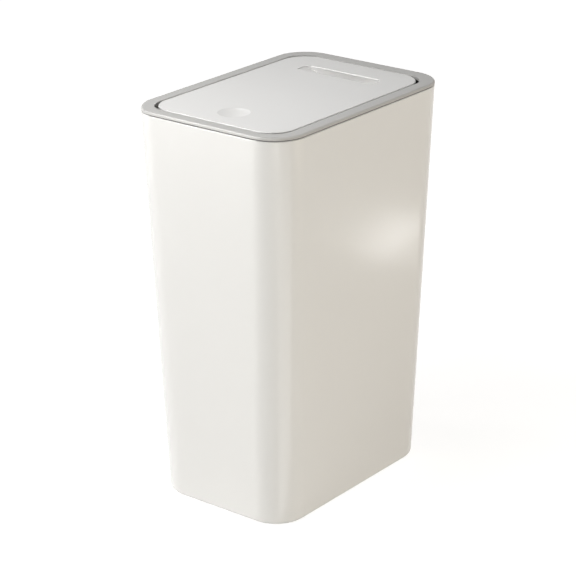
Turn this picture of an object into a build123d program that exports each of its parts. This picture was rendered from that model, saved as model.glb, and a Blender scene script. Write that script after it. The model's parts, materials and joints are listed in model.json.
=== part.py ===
from build123d import *

import math
import os

# Push-top countertop bin: a slim tapered bucket, a rim ring on an inner frame that drops into it, and a
# flush lid that springs open when its front is pressed. Sizes are in millimetres. The origin is in the
# middle of the foot on the table, +Z is up, the press dimple faces -Y and the hinge is at +Y.

# ---------------------------------------------------------------- bucket
height = 340.0
top_width = 158.5
top_length = 226.3
top_corner = 29.5
foot_width = 136.5
foot_length = 202.8
foot_corner = 28.9
foot_round = 4.5
body_wall = 2.2
floor_thick = 2.6
floor_round = 7.0
foot_rim = 12.0
foot_recess = 2.0
mould_round = 0.4
mouth_round = 0.7
mouth_inner_round = 0.3

# ---------------------------------------------------------------- rim ring
ring_thick = 2.3
ring_round = 2.0
ring_inner_round = 0.6
ring_front = 10.6
ring_side = 11.5
ring_back = 13.9
opening_corner = 18.5
ring_lip = 6.0
ring_lip_wall = 1.2
shadow_gap = 1.0
shadow_inset = 0.8

# ---------------------------------------------------------------- inner frame
collar_depth = 30.0
collar_wall = 1.8
bag_gap = 0.4
flange_thick = 1.8
seam_gap = 0.2
bracket_drop = 21.5
bracket_thick = 2.4
bracket_reach = 20.0
bracket_corner = 9.0
latch_shelf_drop = 15.0
latch_shelf_thick = 2.4
latch_shelf_width = 50.0
latch_shelf_rib = 2.0

# ---------------------------------------------------------------- ring screws
ring_boss_inset = 7.0
ring_boss_radius = 1.95
ring_cup_bore = 2.2
ring_cup_radius = 3.0
ring_cup_depth = 9.5
ring_cup_floor = 1.8
ring_screw_length = 8.0
side_screw_front = 88.0
side_screw_back = 71.0
back_screw_side = 41.0
corner_screw_angle = 20.0

# ---------------------------------------------------------------- lid
lid_gap = 1.2
lid_corner = 22.0
lid_thick = 2.2
lid_skirt = 8.0
lid_skirt_wall = 1.8
lid_round = 0.7
dimple_diameter = 26.5
dimple_depth = 3.6
dimple_setback = 28.4
dimple_rim_round = 0.5
grip_length = 78.0
grip_width = 15.4
grip_corner = 5.0
grip_depth = 10.0
grip_slope = 25.0
grip_bend = 12.0
grip_lip = 1.2
grip_floor_round = 3.0
grip_setback = 25.0
grip_wall = 1.8
grip_rim_round = 1.0
tail_rib = 1.6

# ---------------------------------------------------------------- lid liner
liner_thick = 1.8
liner_gap = 0.25
liner_back = 46.0
liner_rim = 1.2
liner_rim_height = 2.6
arm_thick = 4.0
arm_margin = 5.3
liner_screw_length = 5.0
liner_boss_radius = 2.8
liner_screw_side = 12.3
liner_screw_front = 19.0
liner_screw_middle = 83.0
liner_screw_back = 58.0

# ---------------------------------------------------------------- hinge
hinge_setback = 19.2
hinge_drop = 6.0
pin_radius = 1.5
pin_fit = 0.05
pin_head_radius = 2.6
pin_head_thick = 1.2
knuckle_radius = 3.3
knuckle_thick = 4.0
ear_setback = 25.3
ear_thick = 3.5
side_play = 0.5
spring_room = 6.4
ear_base = 7.0
clip_thick = 0.6
clip_radius = 2.9
clip_groove = 0.35
clip_fit = 0.02
clip_mouth = 1.8
tail_notch_play = 1.0
open_angle = 85.0

# ---------------------------------------------------------------- torsion springs
torsion_wire = 0.9
torsion_pitch = 0.95
torsion_play = 0.9
torsion_radius = 2.75
torsion_turns = 4.75
torsion_arm = 11.0
torsion_leg = 11.0
leg_gap = 0.3
lug_width = 3.0
lug_height = 4.0
lug_reach = 1.9

# ---------------------------------------------------------------- damper
gear_module = 0.8
sector_teeth = 30
pinion_teeth = 12
pressure_angle = 25.0
gear_backlash = 0.4
gear_addendum = 0.8
gear_dedendum = 1.1
gear_centre_play = 0.05
flank_steps = 3
pinion_bearing = 45.0
damper_radius = 7.0
damper_thick = 6.6
damper_play = 0.8
damper_shaft_radius = 1.6
damper_flange_thick = 1.6
damper_ear_reach = 8.9
damper_ear_radius = 2.4
damper_ear_angle = 48.0
damper_plate_thick = 2.4
damper_screw_radius = 0.8
damper_screw_length = 3.4

# ---------------------------------------------------------------- press latch
latch_setback = 10.8
press_travel = 2.0
striker_thick = 1.2
striker_length = 30.0
striker_width = 11.0
striker_screw_spread = 11.5
magnet_gap = 0.3
magnet_length = 8.4
magnet_width = 5.6
magnet_thick = 2.6
magnet_proud = 0.3
plunger_width = 10.4
plunger_depth = 8.4
plunger_length = 26.2
plunger_round = 0.8
slide_gap = 0.2
housing_wall_x = 3.6
housing_wall_y = 3.1
housing_floor = 5.3
housing_headroom = 4.2
housing_flange = 2.4
housing_flange_reach = 9.0
end_gap = 2.5
spring_bore = 2.6
spring_offset = 0.6
spring_bore_depth = 16.5
coil_radius = 2.2
coil_wire = 0.6
coil_turns = 8.0
post_radius = 1.6
post_height = 2.0
cam_depth = 1.4
cam_pin_radius = 0.6
cam_arm = 18.0
cam_swing = 0.9
cam_clear = 0.3
lobe_radius = 1.1
lobe_spread = 1.5
heart_length = 4.8
cam_track = 1.6
cam_stroke = 8.0
cam_window = 5.2
cover_thick = 1.4
cover_margin = 2.2
latch_screw_spread = 13.6
latch_screw_length = 8.0

# ---------------------------------------------------------------- screws
screw_radius = 1.1
screw_head_ratio = 1.9
screw_cross_ratio = 1.6
screw_hole_play = 0.3
pilot_fit = 0.02
boss_radius = 3.0
boss_length = 8.0

# ---------------------------------------------------------------- places worked out from the sizes
ring_bottom = height - ring_thick
body_top = ring_bottom - shadow_gap
floor_top = foot_recess + floor_thick
collar_inset = body_wall + bag_gap
collar_inner = collar_inset + collar_wall
collar_bottom = body_top - collar_depth
flange_bottom = ring_bottom - flange_thick

opening_front = -top_length / 2 + ring_front
opening_back = top_length / 2 - ring_back
opening_half = top_width / 2 - ring_side
lid_front = opening_front + lid_gap
lid_back = opening_back - lid_gap
lid_half = opening_half - lid_gap
lid_under = height - lid_thick
skirt_bottom = height - lid_skirt
liner_top = skirt_bottom + liner_thick
liner_inset = lid_skirt_wall + liner_gap

hinge_y = lid_back - hinge_setback
hinge_z = height - hinge_drop
ear_start = opening_half - ear_setback
inner_ear = (ear_start, ear_start + ear_thick)
knuckle = (inner_ear[1] + side_play, inner_ear[1] + side_play + knuckle_thick)
outer_ear_start = knuckle[1] + side_play + spring_room
outer_ear = (outer_ear_start, outer_ear_start + ear_thick)
bracket_top = hinge_z - bracket_drop
arm_back = hinge_y - knuckle_radius - tail_notch_play
notch_inner = ear_start - pin_head_thick - 2 * clip_thick - tail_notch_play
notch_outer = outer_ear[1] + pin_head_thick + tail_notch_play

liner_end = lid_back - liner_back
arm_outer = lid_half - arm_margin
dimple_y = lid_front + dimple_setback
grip_y = lid_back - grip_setback - grip_width / 2

sector_radius = gear_module * sector_teeth / 2
pinion_radius = gear_module * pinion_teeth / 2
gear_centres = sector_radius + pinion_radius + gear_centre_play
damper_y = hinge_y - gear_centres * math.sin(math.radians(pinion_bearing))
damper_z = hinge_z - gear_centres * math.cos(math.radians(pinion_bearing))
damper_face = knuckle[1] + damper_play
damper_back = damper_face + damper_thick

latch_y = lid_front + latch_setback
striker_bottom = skirt_bottom - striker_thick
magnet_top = striker_bottom - magnet_gap
plunger_top = magnet_top - magnet_proud
plunger_bottom = plunger_top - plunger_length
housing_top = plunger_top - housing_headroom
cavity_bottom = plunger_bottom - end_gap
housing_bottom = cavity_bottom - housing_floor
latch_shelf_top = body_top - latch_shelf_drop
housing_half_x = plunger_width / 2 + slide_gap + housing_wall_x
housing_half_y = plunger_depth / 2 + slide_gap + housing_wall_y
cam_pivot_z = cavity_bottom - housing_floor / 2
cam_tip_z = cam_pivot_z + cam_arm
cam_face_y = latch_y + plunger_depth / 2
cam_shaft_y = cam_face_y + cam_clear + cam_pin_radius
cover_y = cam_shaft_y + cam_pin_radius + cam_clear


# ---------------------------------------------------------------- shared shapes
def between(foot, top, z):
    """Size at height z of something that tapers from the foot to the full height."""
    return foot + (top - foot) * z / height


def bucket_outline(z, inset):
    """Rounded outline of the tapered bucket at height z, drawn this far inside its outer face."""
    with BuildSketch(Plane.XY.offset(z)) as outline:
        RectangleRounded(
            between(foot_width, top_width, z) - 2 * inset,
            between(foot_length, top_length, z) - 2 * inset,
            between(foot_corner, top_corner, z) - inset,
        )
    return outline.sketch


def mouth_outline(z, half, front, back, corner, grow):
    """Rounded outline of the ring's opening or of the lid at height z, grown or shrunk all round."""
    with BuildSketch(Plane.XY.offset(z)) as outline:
        with Locations((0, (front + back) / 2)):
            RectangleRounded(2 * (half + grow), back - front + 2 * grow, corner + grow)
    return outline.sketch


def opening_outline(z, grow=0.0):
    """Opening of the rim ring."""
    return mouth_outline(z, opening_half, opening_front, opening_back, opening_corner, grow)


def lid_outline(z, inset=0.0):
    """Outside of the lid, or a line this far inside it."""
    return mouth_outline(z, lid_half, lid_front, lid_back, lid_corner, -inset)


def grip_form(grow):
    """Finger recess: upright front and back walls, ends that ramp down to a short floor."""
    floor = height - grip_depth - grow
    half = grip_length / 2 + grow
    with BuildPart() as form:
        with BuildSketch(Plane.XZ.offset(-grip_y)) as profile:
            with BuildLine():
                Polyline(
                    (-half, height),
                    (half, height),
                    (half, height - grip_lip),
                    (half - grip_slope, floor),
                    (grip_slope - half, floor),
                    (-half, height - grip_lip),
                    close=True,
                )
            make_face()
            fillet(profile.vertices().group_by(Axis.Y)[0], radius=grip_bend)
        extrude(amount=grip_width, both=True)
        with BuildSketch(Plane.XY.offset(height)):
            with Locations((0, grip_y)):
                RectangleRounded(2 * half, grip_width + 2 * grow, grip_corner + grow)
        extrude(amount=floor - height, mode=Mode.INTERSECT)
        with BuildSketch(Plane.YZ) as trough:
            with Locations((grip_y, floor)):
                Rectangle(grip_width + 2 * grow, grip_depth + grow, align=(Align.CENTER, Align.MIN))
            fillet(trough.vertices().group_by(Axis.Y)[0], radius=grip_floor_round + grow)
        extrude(amount=half, both=True, mode=Mode.INTERSECT)
    return form.part


def dimple_cap(wall):
    """Cap of the sphere that is the press dimple, or of its underside when the wall is added."""
    ball_radius = ((dimple_diameter / 2) ** 2 + dimple_depth**2) / (2 * dimple_depth)
    with BuildPart(Plane((0, dimple_y, height - dimple_depth + ball_radius))) as ball:
        Sphere(ball_radius + wall)
        split(bisect_by=Plane.XY.offset(height - wall), keep=Keep.BOTTOM)
    return ball.part


def screw(place, length, radius=screw_radius):
    """Pan-head screw whose shank points along the plane's normal, with its head behind the plane."""
    with BuildPart(place) as fastener:
        Cylinder(radius, length, align=(Align.CENTER, Align.CENTER, Align.MIN))
        Cylinder(screw_head_ratio * radius, radius, align=(Align.CENTER, Align.CENTER, Align.MAX))
        fillet(fastener.faces().sort_by(Axis((0, 0, 0), place.z_dir))[0].edges(), radius=radius / 3)
        with BuildSketch(place.offset(-radius)):
            Rectangle(screw_cross_ratio * radius, radius / 3)
            Rectangle(radius / 3, screw_cross_ratio * radius)
        extrude(amount=radius / 2, mode=Mode.SUBTRACT)
    return fastener.part


def screws(label, places, length, radius=screw_radius):
    """One node that holds the same screw at each of these planes."""
    with BuildPart() as group:
        for place in places:
            add(screw(place, length, radius))
    group.part.label = label
    export_step(group.part, f"parts/{label}.step")


def tooth_outline(teeth):
    """One involute gear tooth along +X, for a gear whose centre is at the origin."""
    pitch = gear_module * teeth / 2
    base = pitch * math.cos(math.radians(pressure_angle))
    root = pitch - gear_dedendum * gear_module
    tip = pitch + gear_addendum * gear_module
    half_pitch_angle = (math.pi * gear_module / 2 - gear_backlash / 2) / (2 * pitch)

    def involute(radius):
        roll = math.acos(min(1.0, base / radius))
        return math.tan(roll) - roll

    flank = []
    flank_start = max(root, base)
    for step in range(flank_steps + 1):
        radius = flank_start + (tip - flank_start) * step / flank_steps
        flank.append((radius, half_pitch_angle + involute(pitch) - involute(radius)))
    flank.insert(0, (root - gear_module, flank[0][1]))
    right = [(r * math.cos(a), -r * math.sin(a)) for r, a in flank]
    left = [(r * math.cos(a), r * math.sin(a)) for r, a in reversed(flank)]
    with BuildSketch(Plane.XY) as tooth:
        with BuildLine():
            Polyline(*right, *left, close=True)
        make_face()
    return tooth.sketch


# ---------------------------------------------------------------- bucket
with BuildPart() as bin_body:
    loft(sections=[bucket_outline(0, 0), bucket_outline(body_top, 0)], ruled=True)
    fillet(bin_body.faces().sort_by(Axis.Z)[0].edges(), radius=foot_round)
    extrude(to_extrude=bucket_outline(0, foot_rim), amount=foot_recess, mode=Mode.SUBTRACT)
    loft(
        sections=[bucket_outline(floor_top, body_wall), bucket_outline(body_top, body_wall)],
        ruled=True,
        mode=Mode.SUBTRACT,
    )
    inner_floor = bin_body.faces().filter_by(Plane.XY).sort_by(Axis.Z)[-2]
    fillet(inner_floor.edges(), radius=floor_round)
    mouth = bin_body.faces().sort_by(Axis.Z)[-1]
    fillet(mouth.outer_wire().edges(), radius=mouth_round)
    mouth = bin_body.faces().sort_by(Axis.Z)[-1]
    fillet(mouth.inner_wires()[0].edges(), radius=mouth_inner_round)
bin_body.part.label = "bin_body"

# ---------------------------------------------------------------- rim ring
side_boss = top_width / 2 - ring_boss_inset
corner_boss = top_corner - ring_boss_inset
corner_turn = math.radians(corner_screw_angle)
boss_places = [
    (top_width / 2 - back_screw_side, top_length / 2 - ring_boss_inset),
    (side_boss, top_length / 2 - side_screw_back),
    (side_boss, side_screw_front - top_length / 2),
    (
        top_width / 2 - top_corner + corner_boss * math.cos(corner_turn),
        top_corner - top_length / 2 - corner_boss * math.sin(corner_turn),
    ),
]
ring_bosses = [(side * x, y) for side in (-1, 1) for x, y in boss_places]

with BuildPart() as rim_ring:
    extrude(to_extrude=bucket_outline(height, 0), amount=-ring_thick)
    fillet(rim_ring.faces().sort_by(Axis.Z)[-1].edges(), radius=ring_round)
    extrude(to_extrude=opening_outline(ring_bottom, ring_lip_wall), amount=-ring_lip)
    extrude(to_extrude=opening_outline(height), amount=-ring_thick - ring_lip, mode=Mode.SUBTRACT)
    with BuildSketch(Plane.XY.offset(ring_bottom)):
        with Locations((0, hinge_y)):
            Rectangle(top_width, top_length, align=(Align.CENTER, Align.MIN))
    extrude(amount=-ring_lip, mode=Mode.SUBTRACT)
    inner_edge = rim_ring.faces().sort_by(Axis.Z)[-1].inner_wires()[0].edges()
    fillet(inner_edge, radius=ring_inner_round)
    with BuildSketch(Plane.XY.offset(ring_bottom)):
        with Locations(*ring_bosses):
            Circle(ring_boss_radius)
    extrude(amount=-ring_cup_depth + ring_cup_floor)
    with BuildSketch(Plane.XY.offset(ring_bottom - ring_cup_depth + ring_cup_floor)):
        with Locations(*ring_bosses):
            Circle(screw_radius + pilot_fit)
    extrude(amount=ring_screw_length - ring_cup_floor + mould_round, mode=Mode.SUBTRACT)
rim_ring.part.label = "rim_ring"

# ---------------------------------------------------------------- inner frame
lug_z = hinge_z - torsion_leg + lug_height / 2
damper_ears = [
    (
        damper_y + side * damper_ear_reach * math.cos(math.radians(damper_ear_angle)),
        damper_z - side * damper_ear_reach * math.sin(math.radians(damper_ear_angle)),
    )
    for side in (-1, 1)
]
damper_plate_front = damper_ears[0][0] - damper_ear_radius
damper_plate_top = damper_ears[0][1] + damper_ear_radius
shelf_back = latch_y + housing_half_y + latch_shelf_rib + side_play
latch_holes = [(side * latch_screw_spread, latch_y) for side in (-1, 1)]

with BuildPart() as inner_frame:
    # collar inside the bucket, with a land that rests on the bucket's edge and a flange under the ring
    loft(
        sections=[
            bucket_outline(collar_bottom, collar_inset),
            bucket_outline(body_top, collar_inset),
        ],
        ruled=True,
    )
    extrude(to_extrude=bucket_outline(body_top, shadow_inset), amount=shadow_gap)
    loft(
        sections=[
            bucket_outline(collar_bottom, collar_inner),
            bucket_outline(flange_bottom, collar_inner),
        ],
        ruled=True,
        mode=Mode.SUBTRACT,
    )
    extrude(
        to_extrude=opening_outline(ring_bottom, ring_lip_wall + seam_gap),
        amount=-2 * flange_thick,
        mode=Mode.SUBTRACT,
    )
    # cups that take the ring's bosses and its screws
    with BuildSketch(Plane.XY.offset(flange_bottom)):
        with Locations(*ring_bosses):
            Circle(ring_cup_radius)
    extrude(amount=flange_thick - ring_cup_depth)
    with BuildSketch(Plane.XY.offset(ring_bottom)):
        with Locations(*ring_bosses):
            Circle(ring_cup_bore)
    extrude(amount=ring_cup_floor - ring_cup_depth, mode=Mode.SUBTRACT)
    with BuildSketch(Plane.XY.offset(ring_bottom)):
        with Locations(*ring_bosses):
            Circle(screw_radius + screw_hole_play)
    extrude(amount=-ring_cup_depth, mode=Mode.SUBTRACT)
    # flutes in the collar wall that clear the screws' heads and a screwdriver
    with BuildSketch(Plane.XY.offset(ring_bottom - ring_cup_depth)):
        with Locations(*ring_bosses):
            Circle(screw_head_ratio * screw_radius + screw_hole_play)
    extrude(amount=-collar_depth, mode=Mode.SUBTRACT)
    # hinge brackets in the two back corners, each with an inner and an outer ear
    with BuildSketch(Plane.XY.offset(bracket_top)) as bracket:
        with Locations((ear_start - side_play, hinge_y - bracket_reach)):
            Rectangle(top_width, top_length, align=(Align.MIN, Align.MIN))
        fillet(bracket.vertices().group_by(Axis.Y)[0].sort_by(Axis.X)[0], radius=bracket_corner)
        add(bucket_outline(bracket_top, collar_inset + collar_wall / 2), mode=Mode.INTERSECT)
    extrude(amount=-bracket_thick)
    for ear in (inner_ear, outer_ear):
        with BuildSketch(Plane.YZ.offset(ear[0])):
            with BuildLine():
                Polyline(
                    (hinge_y - knuckle_radius, hinge_z),
                    (hinge_y - knuckle_radius, bracket_top - bracket_thick / 2),
                    (hinge_y + knuckle_radius + ear_base, bracket_top - bracket_thick / 2),
                    (hinge_y + knuckle_radius, bracket_top + ear_base / 2),
                    (hinge_y + knuckle_radius, hinge_z),
                    close=True,
                )
            make_face()
            with Locations((hinge_y, hinge_z)):
                Circle(knuckle_radius)
                Circle(pin_radius + pin_fit, mode=Mode.SUBTRACT)
        extrude(amount=ear_thick)
    # lug on the outer ear that the torsion spring's lower leg pushes against
    with BuildSketch(Plane.YZ.offset(outer_ear[0])):
        with Locations((hinge_y - torsion_radius + torsion_wire / 2 + leg_gap, lug_z)):
            Rectangle(lug_width, lug_height, align=(Align.MIN, Align.CENTER))
    extrude(amount=-lug_reach)
    mirror(about=Plane.YZ)
    # upright plate that carries the damper, on the right bracket only
    with BuildSketch(Plane.YZ.offset(damper_back)):
        with BuildLine():
            Polyline(
                (damper_plate_front, bracket_top - bracket_thick / 2),
                (damper_plate_front, damper_plate_top),
                (hinge_y - knuckle_radius, damper_plate_top),
                (hinge_y, bracket_top - bracket_thick / 2),
                close=True,
            )
        make_face()
        with Locations(*damper_ears):
            Circle(damper_screw_radius + pilot_fit, mode=Mode.SUBTRACT)
    extrude(amount=damper_plate_thick)
    # shelf at the front that holds the press latch, with a rib under each end and two screw bosses
    with BuildSketch(Plane.XY.offset(latch_shelf_top)) as latch_shelf:
        with Locations((0, shelf_back)):
            Rectangle(latch_shelf_width, top_length, align=(Align.CENTER, Align.MAX))
        fillet(latch_shelf.vertices().group_by(Axis.Y)[-1], radius=bracket_corner / 2)
        add(bucket_outline(latch_shelf_top, collar_inset + collar_wall / 2), mode=Mode.INTERSECT)
    extrude(amount=-latch_shelf_thick)
    collar_front = -between(foot_length, top_length, collar_bottom) / 2 + collar_inset + collar_wall / 2
    for side in (-1, 1):
        rib_x = side * (latch_shelf_width - latch_shelf_rib) / 2
        with BuildSketch(Plane.YZ.offset(rib_x)):
            with BuildLine():
                Polyline(
                    (collar_front, latch_shelf_top - latch_shelf_thick / 2),
                    (collar_front, collar_bottom + latch_shelf_rib),
                    (shelf_back - bracket_corner, latch_shelf_top - latch_shelf_thick / 2),
                    close=True,
                )
            make_face()
        extrude(amount=latch_shelf_rib / 2, both=True)
    with BuildSketch(Plane.XY.offset(latch_shelf_top)):
        with Locations(*latch_holes):
            Circle(boss_radius)
    extrude(amount=-boss_length)
    with BuildSketch(Plane.XY.offset(latch_shelf_top)):
        with Locations(*latch_holes):
            Circle(screw_radius + pilot_fit)
        with Locations((0, latch_y)):
            Rectangle(2 * (housing_half_x + seam_gap), 2 * (housing_half_y + seam_gap))
    extrude(amount=-boss_length, mode=Mode.SUBTRACT)
inner_frame.part.label = "inner_frame"

# ---------------------------------------------------------------- lid panel
liner_boss_places = (
    lid_front + liner_screw_front,
    lid_front + liner_screw_middle,
    lid_back - liner_screw_back,
)
liner_bosses = [
    (side * (lid_half - liner_screw_side), y) for side in (-1, 1) for y in liner_boss_places
]

with BuildPart() as lid_panel:
    extrude(to_extrude=lid_outline(height), amount=-lid_skirt)
    fillet(lid_panel.faces().sort_by(Axis.Z)[-1].edges(), radius=lid_round)
    extrude(
        to_extrude=lid_outline(lid_under, lid_skirt_wall),
        amount=lid_thick - lid_skirt,
        mode=Mode.SUBTRACT,
    )
    # notches at the back that clear the hinge ears as the lid swings
    with BuildSketch(Plane.XY.offset(lid_under)):
        with Locations(
            ((notch_inner + notch_outer) / 2, hinge_y - knuckle_radius - tail_notch_play),
            (-(notch_inner + notch_outer) / 2, hinge_y - knuckle_radius - tail_notch_play),
        ):
            Rectangle(notch_outer - notch_inner, top_length, align=(Align.CENTER, Align.MIN))
    extrude(amount=lid_thick - lid_skirt, mode=Mode.SUBTRACT)
    # bosses for the liner's screws
    with BuildSketch(Plane.XY.offset(liner_top)):
        with Locations(*liner_bosses):
            Circle(liner_boss_radius)
    extrude(amount=lid_under - liner_top)
    # ribs that stiffen the tail behind the grip
    for x in (-notch_inner / 2, 0, notch_inner / 2):
        with BuildSketch(Plane.YZ.offset(x)):
            with Locations((grip_y + grip_width / 2 + grip_wall / 2, skirt_bottom + mould_round)):
                Rectangle(
                    lid_back - lid_skirt_wall / 2 - grip_y - grip_width / 2 - grip_wall / 2,
                    lid_under - skirt_bottom,
                    align=(Align.MIN, Align.MIN),
                )
        extrude(amount=tail_rib / 2, both=True)
    add(grip_form(grip_wall))
    add(dimple_cap(lid_thick))
    add(grip_form(0), mode=Mode.SUBTRACT)
    add(dimple_cap(0), mode=Mode.SUBTRACT)
    top_holes = lid_panel.faces().filter_by(Plane.XY).sort_by(Axis.Z)[-1].inner_wires().sort_by(Axis.Y)
    fillet(top_holes[0].edges(), radius=dimple_rim_round)
    top_holes = lid_panel.faces().filter_by(Plane.XY).sort_by(Axis.Z)[-1].inner_wires().sort_by(Axis.Y)
    fillet(top_holes[-1].edges(), radius=grip_rim_round)
    with BuildSketch(Plane.XY.offset(liner_top)):
        with Locations(*liner_bosses):
            Circle(screw_radius + pilot_fit)
    extrude(amount=liner_screw_length - liner_thick + pilot_fit, mode=Mode.SUBTRACT)
lid_panel.part.label = "lid_panel"

# ---------------------------------------------------------------- lid liner
striker_screws = [(side * striker_screw_spread, latch_y) for side in (-1, 1)]
arm_inner = grip_length / 2 + grip_wall + tail_notch_play

with BuildPart() as lid_liner:
    # tray under the front of the lid, with an upstanding rim inside the skirt
    with BuildSketch(Plane.XY.offset(skirt_bottom)) as tray:
        add(lid_outline(skirt_bottom, liner_inset))
        with Locations((0, liner_end)):
            Rectangle(top_width, top_length, align=(Align.CENTER, Align.MAX), mode=Mode.INTERSECT)
    extrude(amount=liner_thick)
    with BuildSketch(Plane.XY.offset(liner_top)) as rim:
        add(lid_outline(liner_top, liner_inset))
        add(lid_outline(liner_top, liner_inset + liner_rim), mode=Mode.SUBTRACT)
        with Locations((0, liner_end)):
            Rectangle(top_width, top_length, align=(Align.CENTER, Align.MAX), mode=Mode.INTERSECT)
    extrude(amount=liner_rim_height)
    # one arm on each side of the grip, ending in a knuckle round the hinge pin
    with BuildSketch(Plane.XY.offset(skirt_bottom)) as arm:
        with Locations((arm_inner, liner_end - arm_thick)):
            Rectangle(
                arm_outer - arm_inner, arm_back - liner_end + arm_thick, align=(Align.MIN, Align.MIN)
            )
        fillet(arm.vertices().group_by(Axis.Y)[-1], radius=arm_thick / 2)
    extrude(amount=arm_thick)
    with BuildSketch(Plane.YZ.offset(knuckle[0])):
        with Locations((arm_back - arm_thick, skirt_bottom)):
            Rectangle(hinge_y - arm_back + arm_thick, arm_thick, align=(Align.MIN, Align.MIN))
        with Locations((hinge_y, hinge_z)):
            Circle(knuckle_radius)
            Circle(pin_radius + pin_fit, mode=Mode.SUBTRACT)
    extrude(amount=knuckle_thick)
    mirror(about=Plane.YZ)
    # toothed quadrant on the right knuckle, centred on the way it meets the damper's gear
    with BuildSketch(Plane.YZ.offset(knuckle[0])) as quadrant:
        first_tooth = -90.0 - pinion_bearing
        step = 360.0 / sector_teeth
        tooth_count = math.ceil((open_angle + 2 * step) / step) + 1
        with Locations((hinge_y, hinge_z)):
            Circle(sector_radius - gear_dedendum * gear_module)
        with BuildLine():
            reach = 2 * sector_radius
            low = math.radians(first_tooth - 1.5 * step)
            high = math.radians(first_tooth + (tooth_count - 1.5) * step)
            Polyline(
                (hinge_y, hinge_z),
                (hinge_y + reach * math.cos(low), hinge_z + reach * math.sin(low)),
                (hinge_y, hinge_z - 2 * reach),
                (hinge_y + reach * math.cos(high), hinge_z + reach * math.sin(high)),
                close=True,
            )
        make_face(mode=Mode.INTERSECT)
        for tooth in range(-1, tooth_count - 1):
            turn = first_tooth + tooth * step
            with Locations(Location((hinge_y, hinge_z, 0), (0, 0, turn))):
                add(tooth_outline(sector_teeth))
        with Locations((hinge_y, hinge_z)):
            Circle(pin_radius + pin_fit, mode=Mode.SUBTRACT)
    extrude(amount=knuckle_thick)
    # holes for the liner's screws, and bosses above for the striker's
    with BuildSketch(Plane.XY.offset(skirt_bottom)):
        with Locations(*liner_bosses):
            Circle(screw_radius + screw_hole_play)
    extrude(amount=liner_thick, mode=Mode.SUBTRACT)
    with BuildSketch(Plane.XY.offset(liner_top)):
        with Locations(*striker_screws):
            Circle(boss_radius)
    extrude(amount=liner_rim_height)
    with BuildSketch(Plane.XY.offset(skirt_bottom)):
        with Locations(*striker_screws):
            Circle(screw_radius + pilot_fit)
    extrude(amount=liner_thick + liner_rim_height, mode=Mode.SUBTRACT)
lid_liner.part.label = "lid_liner"

# ---------------------------------------------------------------- striker plate
with BuildPart() as striker_plate:
    with BuildSketch(Plane.XY.offset(skirt_bottom)):
        with Locations((0, latch_y)):
            RectangleRounded(striker_length, striker_width, striker_thick)
        with Locations(*striker_screws):
            Circle(screw_radius + screw_hole_play, mode=Mode.SUBTRACT)
    extrude(amount=-striker_thick)
striker_plate.part.label = "striker_plate"

# ---------------------------------------------------------------- hinge pins and their clips
pin_start = ear_start - 2.5 * clip_thick
with BuildPart() as hinge_pin_right:
    with BuildSketch(Plane.YZ.offset(pin_start)):
        with Locations((hinge_y, hinge_z)):
            Circle(pin_radius)
    extrude(amount=outer_ear[1] + clip_fit - pin_start)
    with BuildSketch(Plane.YZ.offset(outer_ear[1] + clip_fit)):
        with Locations((hinge_y, hinge_z)):
            Circle(pin_head_radius)
    extrude(amount=pin_head_thick)
    with BuildSketch(Plane.YZ.offset(ear_start - clip_fit)):
        with Locations((hinge_y, hinge_z)):
            Circle(pin_radius)
            Circle(pin_radius - clip_groove, mode=Mode.SUBTRACT)
    extrude(amount=-clip_thick - clip_fit, mode=Mode.SUBTRACT)
    chamfer(hinge_pin_right.faces().sort_by(Axis.X)[0].edges(), length=clip_groove / 2)
    fillet(hinge_pin_right.faces().sort_by(Axis.X)[-1].edges(), radius=mould_round)
hinge_pin_right.part.label = "hinge_pin_right"

with BuildPart() as hinge_pin_left:
    mirror(hinge_pin_right.part, about=Plane.YZ)
hinge_pin_left.part.label = "hinge_pin_left"

with BuildPart() as pin_clips:
    with BuildSketch(Plane.YZ.offset(ear_start - clip_fit)):
        with Locations((hinge_y, hinge_z)):
            Circle(clip_radius)
            Circle(pin_radius - clip_groove + clip_fit, mode=Mode.SUBTRACT)
        with Locations((hinge_y, hinge_z)):
            Rectangle(
                2 * clip_radius,
                clip_mouth,
                align=(Align.MAX, Align.CENTER),
                mode=Mode.SUBTRACT,
            )
    extrude(amount=-clip_thick)
    mirror(about=Plane.YZ)
pin_clips.part.label = "pin_clips"

# ---------------------------------------------------------------- torsion springs
coil_start = (knuckle[1] + torsion_play + torsion_wire / 2, hinge_y, hinge_z)
hinge_line = Axis(coil_start, (1, 0, 0))
torsion_coil = Helix(
    torsion_pitch,
    torsion_pitch * torsion_turns,
    torsion_radius,
    center=coil_start,
    direction=(1, 0, 0),
).rotate(hinge_line, 180)

with BuildPart() as torsion_spring_right:
    with BuildLine() as torsion_path:
        Line((torsion_coil @ 0) - (torsion_coil % 0) * torsion_arm, torsion_coil @ 0)
        add(torsion_coil)
        Line(torsion_coil @ 1, (torsion_coil @ 1) + (torsion_coil % 1) * torsion_leg)
    torsion_wire_path = torsion_path.wires()[0]
    with BuildSketch(Plane(origin=torsion_wire_path @ 0, z_dir=torsion_wire_path % 0)):
        Circle(torsion_wire / 2)
    sweep(path=torsion_wire_path)
torsion_spring_right.part.label = "torsion_spring_right"

with BuildPart() as torsion_spring_left:
    mirror(torsion_spring_right.part, about=Plane.YZ)
torsion_spring_left.part.label = "torsion_spring_left"

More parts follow.
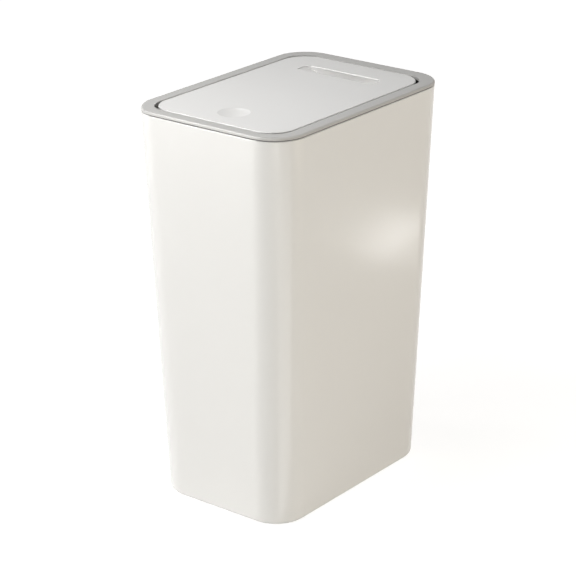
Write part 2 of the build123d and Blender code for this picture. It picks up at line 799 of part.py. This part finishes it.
# ---------------------------------------------------------------- damper
with BuildPart() as damper_housing:
    with BuildSketch(Plane.YZ.offset(damper_face)):
        with Locations((damper_y, damper_z)):
            Circle(damper_radius)
    extrude(amount=damper_thick)
    fillet(damper_housing.faces().sort_by(Axis.X)[0].edges(), radius=mould_round)
    with BuildSketch(Plane.YZ.offset(damper_back - damper_flange_thick)):
        with BuildLine():
            Line(damper_ears[0], damper_ears[1])
        with Locations(*damper_ears):
            Circle(damper_ear_radius)
        make_hull()
        with Locations(*damper_ears):
            Circle(damper_screw_radius + screw_hole_play, mode=Mode.SUBTRACT)
    extrude(amount=damper_flange_thick)
    with BuildSketch(Plane.YZ.offset(damper_face)):
        with Locations((damper_y, damper_z)):
            Circle(damper_shaft_radius + pin_fit)
    extrude(amount=damper_thick - damper_flange_thick, mode=Mode.SUBTRACT)
damper_housing.part.label = "damper_housing"

with BuildPart() as damper_gear:
    with BuildSketch(Plane.YZ.offset(knuckle[0])) as pinion:
        with Locations((damper_y, damper_z)):
            Circle(pinion_radius - gear_dedendum * gear_module)
        for tooth in range(pinion_teeth):
            turn = 90.0 - pinion_bearing + (tooth + 0.5) * 360.0 / pinion_teeth
            with Locations(Location((damper_y, damper_z, 0), (0, 0, turn))):
                add(tooth_outline(pinion_teeth))
    extrude(amount=knuckle_thick)
    with BuildSketch(Plane.YZ.offset(knuckle[1])):
        with Locations((damper_y, damper_z)):
            Circle(damper_shaft_radius)
    extrude(amount=damper_play + damper_thick - damper_flange_thick - side_play)
damper_gear.part.label = "damper_gear"

# ---------------------------------------------------------------- press latch: housing and cover
housing_size = (2 * housing_half_x, 2 * housing_half_y)
cover_bottom = cam_pivot_z - cam_pin_radius - cover_margin
cover_top = cam_tip_z + cover_margin + press_travel

with BuildPart() as latch_housing:
    with BuildSketch(Plane.XY.offset(housing_bottom)):
        with Locations((0, latch_y)):
            RectangleRounded(*housing_size, plunger_round)
    extrude(amount=housing_top - housing_bottom)
    with BuildSketch(Plane.XY.offset(latch_shelf_top)):
        with Locations((0, latch_y)):
            RectangleRounded(
                2 * (housing_half_x + housing_flange_reach), 2 * housing_half_y - seam_gap, boss_radius
            )
        with Locations(*latch_holes):
            Circle(screw_radius + screw_hole_play, mode=Mode.SUBTRACT)
    extrude(amount=housing_flange)
    with BuildSketch(Plane.XY.offset(housing_top)):
        with Locations((0, latch_y)):
            RectangleRounded(plunger_width + 2 * slide_gap, plunger_depth + 2 * slide_gap, plunger_round)
    extrude(amount=cavity_bottom - housing_top, mode=Mode.SUBTRACT)
    # post that centres the coil spring
    with BuildSketch(Plane.XY.offset(cavity_bottom)):
        with Locations((0, latch_y - spring_offset)):
            Circle(post_radius)
    extrude(amount=post_height)
    # slot in which the cam pin swings, and the rebate that its cover closes
    with BuildSketch(Plane.XZ.offset(-cover_y)):
        with Locations((0, (cover_bottom + cover_top) / 2)):
            Rectangle(cam_window + 2 * cover_margin, cover_top - cover_bottom)
    extrude(amount=-housing_size[1], mode=Mode.SUBTRACT)
    with BuildSketch(Plane.XZ.offset(-cover_y)):
        with Locations((0, (cam_pivot_z + cam_tip_z) / 2)):
            Rectangle(cam_window, cam_arm + 2 * (cam_pin_radius + cam_clear))
    extrude(amount=cover_y - cam_face_y - slide_gap / 2, mode=Mode.SUBTRACT)
    with BuildSketch(Plane.XZ.offset(-cover_y)):
        with Locations((0, cam_pivot_z)):
            Circle(cam_pin_radius + pin_fit)
    extrude(amount=cover_y - latch_y, mode=Mode.SUBTRACT)
latch_housing.part.label = "latch_housing"

with BuildPart() as latch_cover:
    with BuildSketch(Plane.XZ.offset(-cover_y)):
        with Locations((0, (cover_bottom + cover_top) / 2)):
            Rectangle(cam_window + 2 * cover_margin, cover_top - cover_bottom)
    extrude(amount=-cover_thick)
    fillet(latch_cover.faces().sort_by(Axis.Y)[-1].edges(), radius=mould_round)
latch_cover.part.label = "latch_cover"

# ---------------------------------------------------------------- press latch: plunger with heart cam
with BuildPart() as latch_plunger:
    with BuildSketch(Plane.XY.offset(plunger_bottom)):
        with Locations((0, latch_y)):
            RectangleRounded(plunger_width, plunger_depth, plunger_round)
    extrude(amount=plunger_length)
    with BuildSketch(Plane.XY.offset(plunger_bottom)):
        with Locations((0, latch_y - spring_offset)):
            Circle(spring_bore)
    extrude(amount=spring_bore_depth, mode=Mode.SUBTRACT)
    with BuildSketch(Plane.XY.offset(plunger_top)):
        with Locations((0, latch_y)):
            Rectangle(magnet_length, magnet_width)
    extrude(amount=magnet_proud - magnet_thick, mode=Mode.SUBTRACT)
    # track that runs up one side of the heart and down the other, round its notch
    with BuildSketch(Plane.XZ.offset(-cam_face_y)) as heart:
        with Locations((-lobe_spread, cam_tip_z - cam_pin_radius), (lobe_spread, cam_tip_z - cam_pin_radius)):
            Circle(lobe_radius)
        with Locations((0, cam_tip_z - heart_length)):
            Circle(lobe_radius / 3)
        make_hull()
    heart_hull = heart.sketch
    with BuildSketch(Plane.XZ.offset(-cam_face_y)) as track:
        add(offset(heart_hull, amount=cam_track, mode=Mode.PRIVATE))
        with Locations((0, cam_tip_z + press_travel / 2)):
            RectangleRounded(
                2 * (cam_swing + lobe_spread),
                press_travel + 2 * (cam_pin_radius + cam_clear),
                cam_pin_radius,
            )
        with Locations((0, cam_tip_z - cam_stroke)):
            SlotCenterPoint((0, 0), (0, (cam_stroke - heart_length) / 2), 2 * (cam_pin_radius + cam_clear))
        add(heart_hull, mode=Mode.SUBTRACT)
        with Locations((0, cam_tip_z)):
            Circle(cam_pin_radius + cam_clear / 2)
    extrude(amount=cam_depth, mode=Mode.SUBTRACT)
latch_plunger.part.label = "latch_plunger"

with BuildPart() as latch_magnet:
    with BuildSketch(Plane.XY.offset(magnet_top)):
        with Locations((0, latch_y)):
            Rectangle(magnet_length, magnet_width)
    extrude(amount=-magnet_thick)
    chamfer(latch_magnet.faces().sort_by(Axis.Z)[-1].edges(), length=magnet_proud / 2)
latch_magnet.part.label = "latch_magnet"

# ---------------------------------------------------------------- press latch: pin and spring
with BuildPart() as cam_pin:
    with BuildSketch(Plane.XY.offset(cam_pivot_z - cam_pin_radius)):
        with Locations((0, cam_shaft_y)):
            Circle(cam_pin_radius)
    extrude(amount=cam_arm + 2 * cam_pin_radius)
    with BuildSketch(Plane.XZ.offset(-cam_shaft_y)):
        with Locations((0, cam_pivot_z)):
            Circle(cam_pin_radius)
    extrude(amount=cam_shaft_y - latch_y - pin_fit)
    with BuildSketch(Plane.XZ.offset(-cam_shaft_y)):
        with Locations((0, cam_tip_z)):
            Circle(cam_pin_radius)
    extrude(amount=cam_shaft_y - cam_face_y + cam_depth - cam_clear)
cam_pin.part.label = "cam_pin"

spring_low = cavity_bottom + coil_wire / 2 + clip_fit
spring_high = plunger_bottom + spring_bore_depth - coil_wire / 2 - clip_fit
compression_coil = Helix(
    (spring_high - spring_low) / coil_turns,
    spring_high - spring_low,
    coil_radius,
    center=(0, latch_y - spring_offset, spring_low),
)
with BuildPart() as latch_spring:
    with BuildSketch(Plane(origin=compression_coil @ 0, z_dir=compression_coil % 0)):
        Circle(coil_wire / 2)
    sweep(path=compression_coil, is_frenet=True)
latch_spring.part.label = "latch_spring"

# ---------------------------------------------------------------- files
os.makedirs("parts", exist_ok=True)
for piece in (
    bin_body,
    rim_ring,
    inner_frame,
    lid_panel,
    lid_liner,
    striker_plate,
    hinge_pin_right,
    hinge_pin_left,
    pin_clips,
    torsion_spring_right,
    torsion_spring_left,
    damper_housing,
    damper_gear,
    latch_housing,
    latch_cover,
    latch_plunger,
    latch_magnet,
    cam_pin,
    latch_spring,
):
    export_step(piece.part, f"parts/{piece.part.label}.step")

screws(
    "ring_screws",
    [Plane((x, y, ring_bottom - ring_cup_depth)) for x, y in ring_bosses],
    ring_screw_length,
)
screws("liner_screws", [Plane((x, y, skirt_bottom)) for x, y in liner_bosses], liner_screw_length)
screws(
    "striker_screws",
    [Plane((x, y, striker_bottom)) for x, y in striker_screws],
    striker_thick + liner_thick + liner_rim_height - mould_round,
)
screws(
    "latch_screws",
    [
        Plane((x, y, latch_shelf_top + housing_flange), x_dir=(1, 0, 0), z_dir=(0, 0, -1))
        for x, y in latch_holes
    ],
    latch_screw_length,
)
screws(
    "damper_screws",
    [
        Plane((damper_back - damper_flange_thick, y, z), x_dir=(0, 1, 0), z_dir=(1, 0, 0))
        for y, z in damper_ears
    ],
    damper_screw_length,
    damper_screw_radius,
)
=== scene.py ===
import json
import math

import bpy
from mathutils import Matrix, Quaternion, Vector


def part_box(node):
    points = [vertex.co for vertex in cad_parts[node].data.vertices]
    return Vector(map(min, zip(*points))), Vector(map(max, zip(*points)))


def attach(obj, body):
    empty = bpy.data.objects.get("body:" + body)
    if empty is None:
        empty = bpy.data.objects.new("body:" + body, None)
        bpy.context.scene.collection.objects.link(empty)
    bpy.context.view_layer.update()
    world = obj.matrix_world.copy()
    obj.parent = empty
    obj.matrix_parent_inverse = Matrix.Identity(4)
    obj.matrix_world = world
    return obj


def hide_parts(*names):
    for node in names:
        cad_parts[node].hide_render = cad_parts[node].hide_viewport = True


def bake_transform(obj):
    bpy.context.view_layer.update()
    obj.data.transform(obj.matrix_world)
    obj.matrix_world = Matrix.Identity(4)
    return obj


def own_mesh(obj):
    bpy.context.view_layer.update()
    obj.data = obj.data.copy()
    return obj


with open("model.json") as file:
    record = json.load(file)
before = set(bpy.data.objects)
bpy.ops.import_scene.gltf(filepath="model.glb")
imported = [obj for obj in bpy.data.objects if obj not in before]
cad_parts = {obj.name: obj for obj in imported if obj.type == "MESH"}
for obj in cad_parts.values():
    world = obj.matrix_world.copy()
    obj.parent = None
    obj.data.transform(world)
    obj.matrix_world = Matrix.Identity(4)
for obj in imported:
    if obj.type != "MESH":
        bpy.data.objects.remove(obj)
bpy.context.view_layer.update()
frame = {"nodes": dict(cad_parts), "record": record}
nodes = frame["nodes"]
record = frame["record"]


# ---------------------------------------------------------------- helpers for materials
class Nodes:
    """Short names for making and joining shader nodes."""

    def __init__(self, tree):
        self.tree = tree
        tree.nodes.clear()

    def make(self, kind, **values):
        node = self.tree.nodes.new(kind)
        for key, value in values.items():
            setattr(node, key, value)
        return node

    def join(self, out_socket, in_socket):
        self.tree.links.new(out_socket, in_socket)

    def noise(self, coordinates, scale, detail=2.0, roughness=0.5):
        node = self.make("ShaderNodeTexNoise")
        node.inputs["Scale"].default_value = scale
        node.inputs["Detail"].default_value = detail
        node.inputs["Roughness"].default_value = roughness
        self.join(coordinates, node.inputs["Vector"])
        return node.outputs["Fac"]

    def remap(self, value, low, high, to_low, to_high):
        node = self.make("ShaderNodeMapRange")
        node.inputs["From Min"].default_value = low
        node.inputs["From Max"].default_value = high
        node.inputs["To Min"].default_value = to_low
        node.inputs["To Max"].default_value = to_high
        self.join(value, node.inputs["Value"])
        return node.outputs["Result"]

    def blend(self, factor, first, second):
        node = self.make("ShaderNodeMix", data_type="RGBA")
        self.join(factor, node.inputs["Factor"])
        node.inputs["A"].default_value = (*first, 1.0)
        node.inputs["B"].default_value = (*second, 1.0)
        return node.outputs["Result"]

    def math(self, operation, first, second):
        node = self.make("ShaderNodeMath", operation=operation)
        for socket, value in zip(node.inputs, (first, second)):
            if isinstance(value, (int, float)):
                socket.default_value = value
            else:
                self.join(value, socket)
        return node.outputs[0]

    def bump(self, height, distance, strength, under=None):
        node = self.make("ShaderNodeBump")
        node.inputs["Strength"].default_value = strength
        node.inputs["Distance"].default_value = distance
        self.join(height, node.inputs["Height"])
        if under is not None:
            self.join(under, node.inputs["Normal"])
        return node.outputs["Normal"]

    def stage_rays(self):
        """1 for the rays that show the white stage: from the camera, mirrored, or passed through."""
        rays = self.make("ShaderNodeLightPath")
        direct = self.math("MAXIMUM", rays.outputs["Is Camera Ray"], rays.outputs["Is Transmission Ray"])
        return self.math("MAXIMUM", direct, rays.outputs["Is Glossy Ray"])

    def choose(self, factor, first, second):
        """The first shader where the factor is 0, the second where it is 1."""
        node = self.make("ShaderNodeMixShader")
        self.join(factor, node.inputs[0])
        self.join(first.outputs[0], node.inputs[1])
        self.join(second.outputs[0], node.inputs[2])
        return node

    def glow(self, kind, colour, strength):
        """An emission or background shader."""
        node = self.make(kind)
        node.inputs["Color"].default_value = (*colour, 1.0)
        node.inputs["Strength"].default_value = strength
        return node

    def finish(self, shader, kind="ShaderNodeOutputMaterial"):
        self.join(shader.outputs[0], self.make(kind).inputs["Surface"])


def new_material(name, colour):
    """An empty material, the nodes to fill it with, and its colour in plain viewports."""
    made = bpy.data.materials.new(name)
    made.use_nodes = True
    made.diffuse_color = (*colour, 1.0)
    return made, Nodes(made.node_tree)


def shade(colour, factor):
    """A lighter or darker colour."""
    return tuple(min(1.0, c * factor) for c in colour)


def plastic(
    name,
    colour,
    roughness,
    grain=0.00045,
    grain_depth=0.000006,
    wave_depth=0.00006,
    gloss=0.5,
    uneven=0.075,
):
    """Injection-moulded plastic: fine mould grain, slow waviness, faint drift of colour and gloss.

    The grain's size and both depths are in metres.
    """
    made, n = new_material(name, colour)
    place = n.make("ShaderNodeTexCoord").outputs["Object"]
    shader = n.make("ShaderNodeBsdfPrincipled")
    drift = n.noise(place, 9.0, 3.0)
    fine = n.noise(place, 1.0 / grain, 2.0, 0.6)
    wave = n.noise(place, 14.0, 1.0)
    smudge = n.noise(place, 38.0, 4.0, 0.62)
    n.join(n.blend(drift, shade(colour, 0.985), shade(colour, 1.012)), shader.inputs["Base Color"])
    smoothest, dullest = roughness * (1 - uneven), roughness * (1 + uneven)
    n.join(n.remap(smudge, 0.3, 0.7, smoothest, dullest), shader.inputs["Roughness"])
    slow = n.bump(wave, wave_depth, 0.35)
    n.join(n.bump(fine, grain_depth, 0.6, slow), shader.inputs["Normal"])
    shader.inputs["Specular IOR Level"].default_value = gloss
    shader.inputs["IOR"].default_value = 1.49
    n.finish(shader)
    return made


def metal(name, colour, roughness, scratch=2200.0, depth=0.000004):
    """Plated or drawn metal: slightly uneven gloss, fine scratches and a faint patina."""
    made, n = new_material(name, colour)
    place = n.make("ShaderNodeTexCoord").outputs["Object"]
    shader = n.make("ShaderNodeBsdfPrincipled")
    patina = n.noise(place, 260.0, 4.0)
    fine = n.noise(place, scratch, 3.0, 0.7)
    n.join(n.blend(patina, shade(colour, 0.86), shade(colour, 1.08)), shader.inputs["Base Color"])
    n.join(n.remap(fine, 0.25, 0.75, roughness * 0.75, roughness * 1.3), shader.inputs["Roughness"])
    n.join(n.bump(fine, depth, 0.5), shader.inputs["Normal"])
    shader.inputs["Metallic"].default_value = 1.0
    n.finish(shader)
    return made


# ---------------------------------------------------------------- materials by the record's slots
finishes = {
    "body_white": plastic("body_white", (0.805, 0.80, 0.782), 0.17),
    "lid_white": plastic(
        "lid_white",
        (0.82, 0.814, 0.80),
        0.33,
        grain=0.0006,
        grain_depth=0.00001,
        wave_depth=0.00003,
        gloss=0.35,
    ),
    "ring_grey": plastic(
        "ring_grey",
        (0.535, 0.529, 0.514),
        0.3,
        grain=0.0006,
        grain_depth=0.00001,
        wave_depth=0.00001,
        gloss=0.14,
        uneven=0.04,
    ),
    # frame_grey: a guessed colour for the unseen frame. It is dark grey partly as painted shade, so that
    # the gap under the ring shows as a dark line.
    "frame_grey": plastic("frame_grey", (0.16, 0.158, 0.155), 0.5, grain_depth=0.000012),
    "liner_white": plastic("liner_white", (0.7, 0.693, 0.677), 0.5, grain_depth=0.000012),
    "latch_grey": plastic("latch_grey", (0.22, 0.222, 0.225), 0.45, grain_depth=0.00001),
    "acetal_white": plastic("acetal_white", (0.78, 0.775, 0.75), 0.38),
    "damper_black": plastic("damper_black", (0.035, 0.035, 0.037), 0.42, grain_depth=0.00001),
    "screw_steel": metal("screw_steel", (0.62, 0.62, 0.60), 0.30),
    "spring_steel": metal("spring_steel", (0.50, 0.49, 0.47), 0.28),
    "striker_steel": metal("striker_steel", (0.66, 0.655, 0.64), 0.26, scratch=900.0),
    "magnet": metal("magnet", (0.72, 0.71, 0.69), 0.16, scratch=700.0),
}

for part in record["subparts"]:
    slots = nodes[part["node"]].data.materials
    slots.clear()
    slots.append(finishes[part["material_slot"]])


def add_mesh(name, corners, faces):
    """A new object in the scene, made of these corners and faces."""
    mesh = bpy.data.meshes.new(name)
    mesh.from_pydata(corners, [], faces)
    obj = bpy.data.objects.new(name, mesh)
    bpy.context.scene.collection.objects.link(obj)
    return obj


# ---------------------------------------------------------------- springs, drawn as smooth round wire
def wire(name, line, radius, sides=14, cap_turns=(0.5, 1.0, 1.35)):
    """Round wire that follows a smooth line of points, its ends rounded in rings at these angles."""
    tangents = []
    for i in range(len(line)):
        tangents.append((line[min(i + 1, len(line) - 1)] - line[max(i - 1, 0)]).normalized())
    side = tangents[0].orthogonal().normalized()
    rings = []
    for point, tangent in zip(line, tangents):
        side = (side - tangent * side.dot(tangent)).normalized()
        rings.append((point, tangent, side, radius))
    ends = []
    for sign, (point, tangent, side, _) in ((-1, rings[0]), (1, rings[-1])):
        cap = []
        for turn in cap_turns:
            out = point + tangent * sign * radius * math.sin(turn)
            cap.append((out, tangent, side, radius * math.cos(turn)))
        ends.append(cap)
    rings = ends[0][::-1] + rings + ends[1]
    verts, faces = [], []
    for point, tangent, side, size in rings:
        up = tangent.cross(side)
        for k in range(sides):
            turn = 2 * math.pi * k / sides
            verts.append(point + (side * math.cos(turn) + up * math.sin(turn)) * size)
    for i in range(len(rings) - 1):
        for k in range(sides):
            a, b = i * sides + k, i * sides + (k + 1) % sides
            faces.append((a, b, b + sides, a + sides))
    faces.append(tuple(range(sides))[::-1])
    last = (len(rings) - 1) * sides
    faces.append(tuple(range(last, last + sides)))
    obj = add_mesh(name, verts, faces)
    obj.data.polygons.foreach_set("use_smooth", [True] * len(faces))
    obj.data.materials.append(finishes["spring_steel"])
    return obj


def ease(value):
    """Rises from 0 to 1, slowly at both ends."""
    return value * value * (3 - 2 * value)


# torsion springs: an arm forward under the lid, the coil round the pin, an arm down beside the frame
hinge = next(joint for joint in record["behaviour"]["joints"] if joint["name"] == "lid_open")["pos_m"]
wire_radius, coil_radius, coil_pitch, coil_turns = 0.00045, 0.00275, 0.00095, 4.75
coil_start, arm_length = 0.0518, 0.011
arm_steps, steps_a_turn = 12, 40
slope = coil_pitch / (2 * math.pi * coil_radius)
start = Vector((coil_start, hinge[1], hinge[2] - coil_radius))
start_along = Vector((slope, 1.0, 0.0)).normalized()
end_along = Vector((slope, 0.0, -1.0)).normalized()
steps = int(coil_turns * steps_a_turn)

for side, node in ((1, "torsion_spring_right"), (-1, "torsion_spring_left")):
    path = []
    for step in range(arm_steps):
        path.append(start - start_along * arm_length * (1 - step / arm_steps))
    for step in range(steps + 1):
        turn = 2 * math.pi * coil_turns * step / steps
        along = coil_start + coil_pitch * coil_turns * step / steps
        across, up = coil_radius * math.sin(turn), coil_radius * math.cos(turn)
        path.append(Vector((along, hinge[1] + across, hinge[2] - up)))
    end = path[-1]
    for step in range(1, arm_steps + 1):
        path.append(end + end_along * arm_length * step / arm_steps)
    path = [Vector((side * p.x, p.y, p.z)) for p in path]
    spring = wire(node + "_wire", path, wire_radius)
    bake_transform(spring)
    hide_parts(node)

# latch spring: upright compression spring with closed ends
coil_low, coil_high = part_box("latch_spring")
coil_wire, press_turns, end_turns, press_steps_a_turn = 0.0003, 9.5, 1.1, 36
centre = [(low + high) / 2 for low, high in zip(coil_low, coil_high)]
coil_reach = (coil_high[0] - coil_low[0]) / 2 - coil_wire
height = coil_high[2] - coil_low[2] - 2 * coil_wire
closed = 2.1 * coil_wire * end_turns
path = []
steps = int(press_turns * press_steps_a_turn)
for step in range(steps + 1):
    turns = press_turns * step / steps
    if turns < end_turns:
        rise = closed * turns / end_turns
    elif turns > press_turns - end_turns:
        rise = height - closed * (press_turns - turns) / end_turns
    else:
        open_share = (turns - end_turns) / (press_turns - 2 * end_turns)
        rise = closed + (height - 2 * closed) * (0.25 * ease(open_share) + 0.75 * open_share)
    angle = 2 * math.pi * turns
    x, y = centre[0] + coil_reach * math.cos(angle), centre[1] + coil_reach * math.sin(angle)
    path.append(Vector((x, y, coil_low[2] + coil_wire + rise)))
press_spring = wire("latch_spring_wire", path, coil_wire)
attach(press_spring, "rim")
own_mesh(press_spring)
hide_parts("latch_spring")

# ---------------------------------------------------------------- stage: floor and backdrop
WHITE = (1.0, 1.0, 1.0)


def floor_material():
    """Pale floor that keeps the bin's shadow and shows as white, also far off, where less light falls."""
    made, n = new_material("floor_white", WHITE)
    plain = n.make("ShaderNodeBsdfDiffuse")
    plain.inputs["Color"].default_value = (0.6, 0.594, 0.584, 1.0)
    white = n.glow("ShaderNodeEmission", WHITE, 1.0)
    distance_off = n.make("ShaderNodeVectorMath", operation="LENGTH")
    n.join(n.make("ShaderNodeTexCoord").outputs["Object"], distance_off.inputs[0])
    strength = n.remap(distance_off.outputs["Value"], 0.15, 1.2, 0.76, 0.92)
    n.join(strength, white.inputs["Strength"])
    both = n.make("ShaderNodeAddShader")
    n.join(plain.outputs[0], both.inputs[0])
    n.join(white.outputs[0], both.inputs[1])
    n.finish(n.choose(n.stage_rays(), plain, both))
    return made


edge = 6.0
floor = add_mesh(
    "floor",
    [(-edge, -edge, 0.0), (edge, -edge, 0.0), (edge, edge, 0.0), (-edge, edge, 0.0)],
    [(0, 1, 2, 3)],
)
floor.location = (0, 0, -0.0002)
floor.data.materials.append(floor_material())

world = bpy.data.worlds.new("studio")
bpy.context.scene.world = world
world.use_nodes = True
w = Nodes(world.node_tree)
ambient = w.glow("ShaderNodeBackground", (1.0, 0.985, 0.955), 0.2)
backdrop = w.glow("ShaderNodeBackground", WHITE, 1.0)
w.finish(w.choose(w.stage_rays(), ambient, backdrop), "ShaderNodeOutputWorld")


# ---------------------------------------------------------------- lamps
def lamp(name, place, target, size, power, colour=WHITE):
    """Square soft box that looks at a point."""
    data = bpy.data.lights.new(name, "AREA")
    data.shape = "SQUARE"
    data.size = size
    data.energy = power
    data.color = colour
    light = bpy.data.objects.new(name, data)
    light.location = place
    light.rotation_mode = "QUATERNION"
    light.rotation_quaternion = (Vector(target) - Vector(place)).to_track_quat("-Z", "Y")
    light.visible_camera = False
    bpy.context.scene.collection.objects.link(light)
    return light


def card(name, place, width, length, power, look=None, turn=0.0):
    """Soft card that only shows as a reflection in the gloss, and lights nothing.

    It looks at a point, or lies on the floor facing up, its length towards this azimuth in degrees.
    """
    light = lamp(name, place, look or (place[0], place[1], 1.0), width, power)
    light.data.shape = "RECTANGLE"
    light.data.size_y = length
    if look is None:
        facing_up = Quaternion((1.0, 0.0, 0.0), math.pi)
        light.rotation_quaternion = Quaternion((0.0, 0.0, 1.0), math.radians(turn)) @ facing_up
    light.visible_diffuse = False
    return light


def around(turn, rise, reach):
    """Place at this azimuth in degrees, height and distance from the bin's axis."""
    turn = math.radians(turn)
    return (reach * math.sin(turn), -reach * math.cos(turn), rise)


# soft boxes round the bin at half its height, a top light, a wide back light and two cards for sheen
half_up = 0.17
middle = (0.0, 0.0, half_up)
box_size = 0.32
lamp("key_left", around(-66, half_up, 1.4), middle, box_size, 7.6)
lamp("key_front", around(-34, half_up, 1.4), middle, box_size, 5.4)
lamp("fill_front", around(42, half_up, 1.05), middle, box_size, 3.5, (1.0, 0.975, 0.92))
lamp("fill_right", around(110, half_up, 1.05), middle, box_size, 2.0, (1.0, 0.86, 0.66))
lamp("top", (-0.08, -0.24, 0.75), (0.0, 0.0, 0.3), 0.22, 1.58)
lamp("back", around(150, 0.4, 1.38), (0.0, 0.0, 0.2), 0.9, 3.0, (1.0, 0.985, 0.96))
card("sheen_edges", (-0.27, -0.2, 0.7), 0.34, 0.34, 6.5, look=(0.0, 0.0, 0.34))
card("sheen_side", (0.377, 0.487, 0.002), 0.03, 0.13, 0.09, turn=166)


def floor_glow(corner, first, last, reach, strength, parts=12, rise=0.0002):
    """Brighter sector of the floor, seen only as a reflection: the soft upright band on the near corner.

    It spreads from below that corner, between two azimuths in degrees.
    """
    outline = [(*corner, rise)]
    for part in range(parts + 1):
        x, y, z = around(first + (last - first) * part / parts, rise, reach)
        outline.append((x + corner[0], y + corner[1], z))
    glow = add_mesh("floor_glow", outline, [tuple(range(len(outline)))])
    glow.visible_camera = glow.visible_diffuse = glow.visible_shadow = False
    made, n = new_material("floor_glow", WHITE)
    n.finish(n.glow("ShaderNodeEmission", WHITE, strength))
    glow.data.materials.append(made)
    return glow


glow = floor_glow((0.066, -0.1), 47, 91, reach=0.8, strength=2.5)

# ---------------------------------------------------------------- camera, as fitted to the photograph
azimuth, elevation, roll = math.radians(38.196), math.radians(21.3), math.radians(0.348)
distance = 1.8678
aim = Vector((0.0, 0.0, 0.16828))
towards = Vector(
    (
        math.sin(azimuth) * math.cos(elevation),
        -math.cos(azimuth) * math.cos(elevation),
        math.sin(elevation),
    )
)
camera_data = bpy.data.cameras.new("camera")
camera_data.sensor_width = 36.0
camera_data.lens = 138.06
camera_data.shift_x = -0.0064
camera_data.shift_y = -0.0008
camera_data.clip_start = 0.05
camera_data.clip_end = 50.0
camera = bpy.data.objects.new("camera", camera_data)
camera.location = aim + towards * distance
camera.rotation_mode = "QUATERNION"
upright = (-towards).to_track_quat("-Z", "Y")
camera.rotation_quaternion = upright @ Quaternion((0.0, 0.0, 1.0), -roll)
bpy.context.scene.collection.objects.link(camera)
bpy.context.scene.camera = camera

bpy.context.scene.view_settings.view_transform = "Standard"
